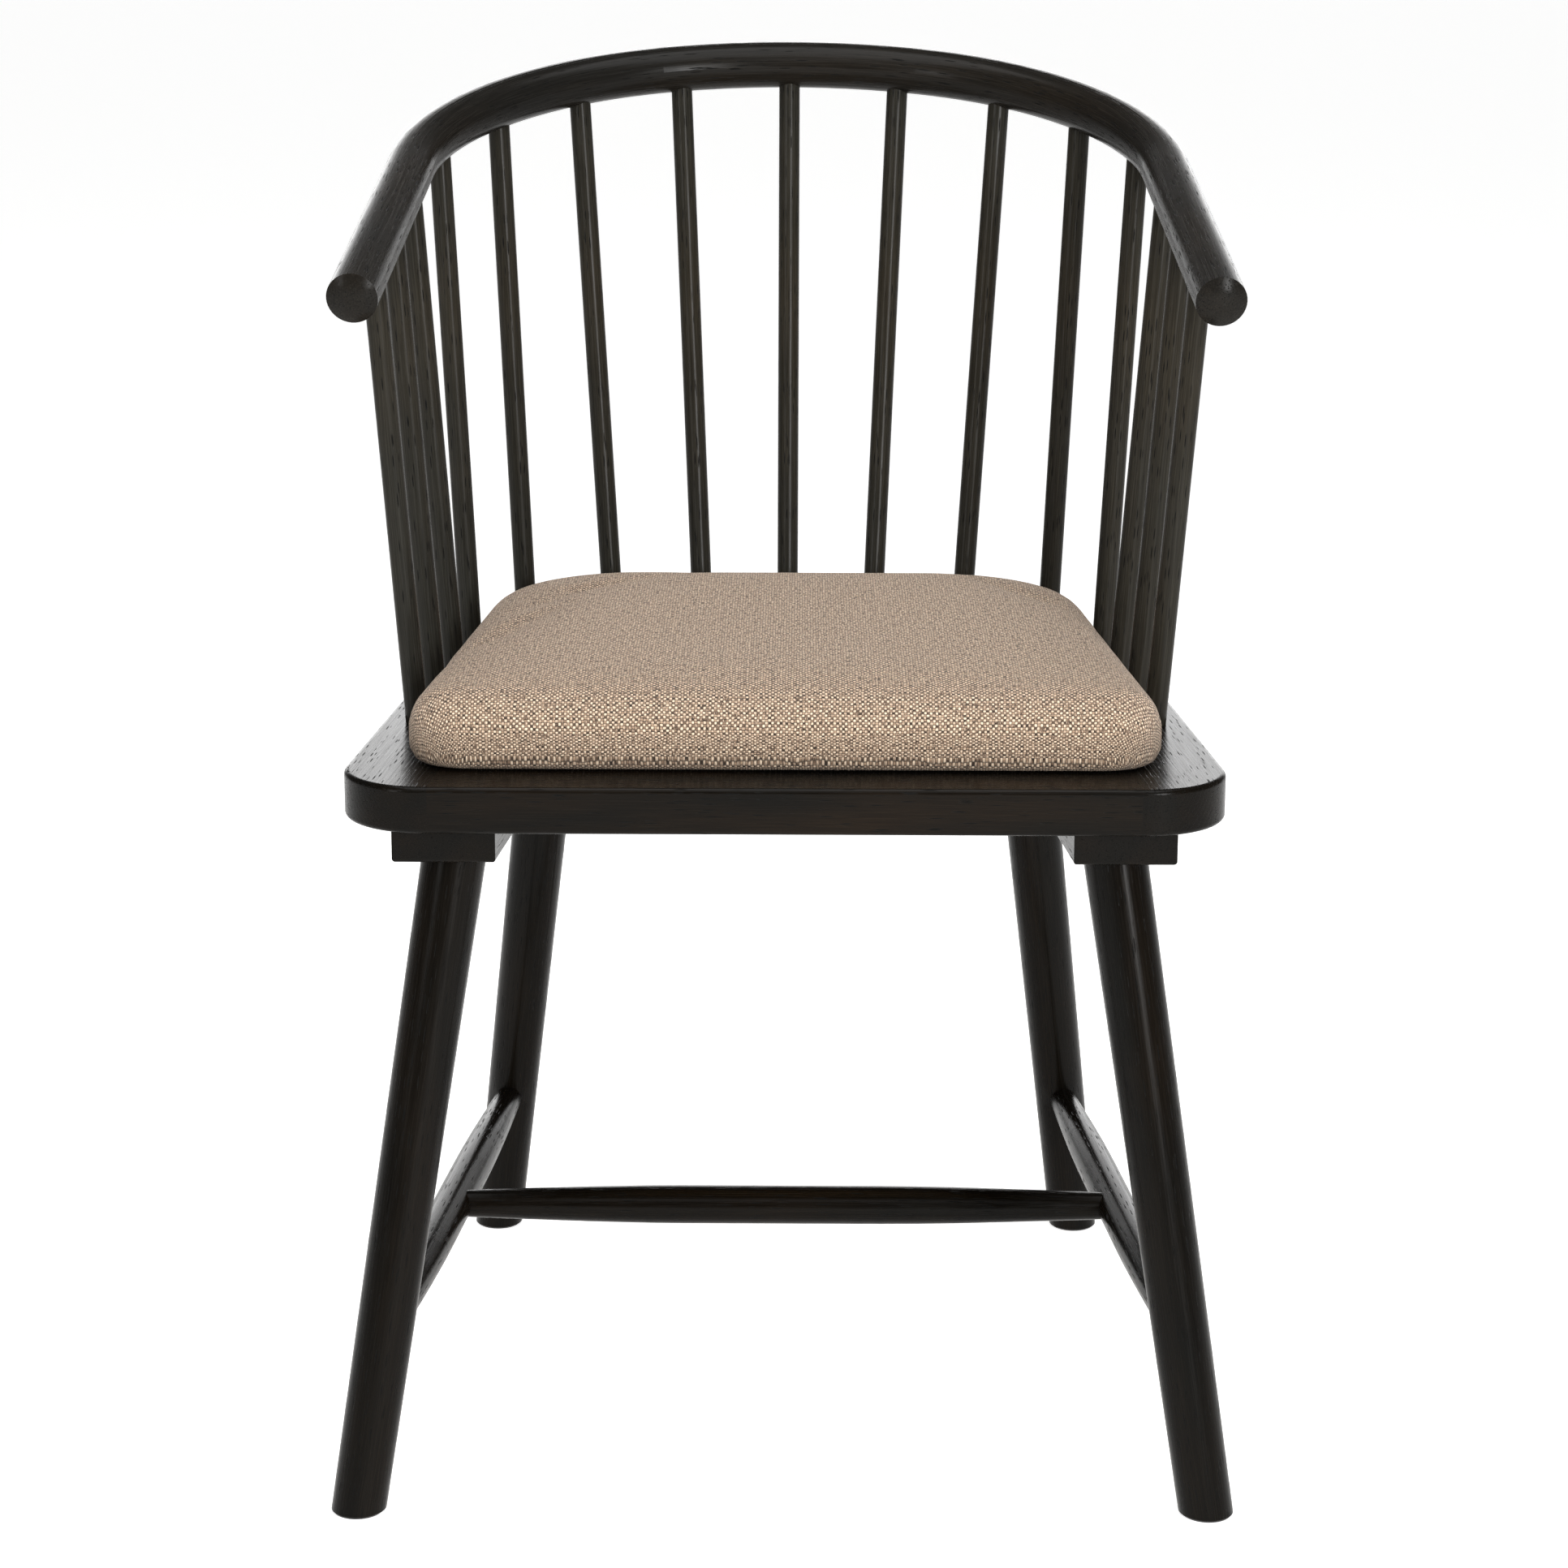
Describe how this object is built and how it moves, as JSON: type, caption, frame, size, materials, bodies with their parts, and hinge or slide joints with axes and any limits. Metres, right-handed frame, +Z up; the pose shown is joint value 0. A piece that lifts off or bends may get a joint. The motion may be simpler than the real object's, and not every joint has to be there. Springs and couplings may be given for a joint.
{
  "type": "wooden armchair",
  "caption": "Black-stained oak armchair with a bent arm bow over round spindles, splayed legs, an H stretcher and a woven-fabric seat pad.",
  "frame": {"origin": "on the floor, under the middle of the chair's bounding box", "axes": "+Z up, -Y towards the front where the sitter faces, +X to the right seen from the front"},
  "size_m": [0.5224, 0.5437, 0.8019],
  "materials": {
    "ebonised_oak": "open-pored black stain under satin lacquer",
    "bare_plywood": "unfinished",
    "bare_beech": "unfinished",
    "pad_foam": "matt foam",
    "woven_cover": "coarse plain weave, matt",
    "zinc_screw": "zinc plated"
  },
  "bodies": {
    "root": {"arm_bow": "ebonised_oak", "spindle_01": "ebonised_oak", "spindle_02": "ebonised_oak", "spindle_03": "ebonised_oak", "spindle_04": "ebonised_oak", "spindle_05": "ebonised_oak", "spindle_06": "ebonised_oak", "spindle_07": "ebonised_oak", "spindle_08": "ebonised_oak", "spindle_09": "ebonised_oak", "spindle_10": "ebonised_oak", "spindle_11": "ebonised_oak", "spindle_12": "ebonised_oak", "spindle_13": "ebonised_oak", "spindle_14": "ebonised_oak", "spindle_15": "ebonised_oak", "seat_side_left": "ebonised_oak", "seat_side_right": "ebonised_oak", "seat_front_rail": "ebonised_oak", "seat_rear_rail": "ebonised_oak", "seat_batten_left": "ebonised_oak", "seat_batten_right": "ebonised_oak", "leg_front_left": "ebonised_oak", "leg_front_right": "ebonised_oak", "leg_rear_left": "ebonised_oak", "leg_rear_right": "ebonised_oak", "stretcher_left": "ebonised_oak", "stretcher_right": "ebonised_oak", "stretcher_cross": "ebonised_oak", "seat_panel": "bare_plywood", "seat_dowels": "bare_beech", "cushion_board": "bare_plywood", "cushion_foam": "pad_foam", "cushion_cover": "woven_cover", "batten_screws": "zinc_screw", "pad_screws": "zinc_screw"}
  },
  "joints": []
}
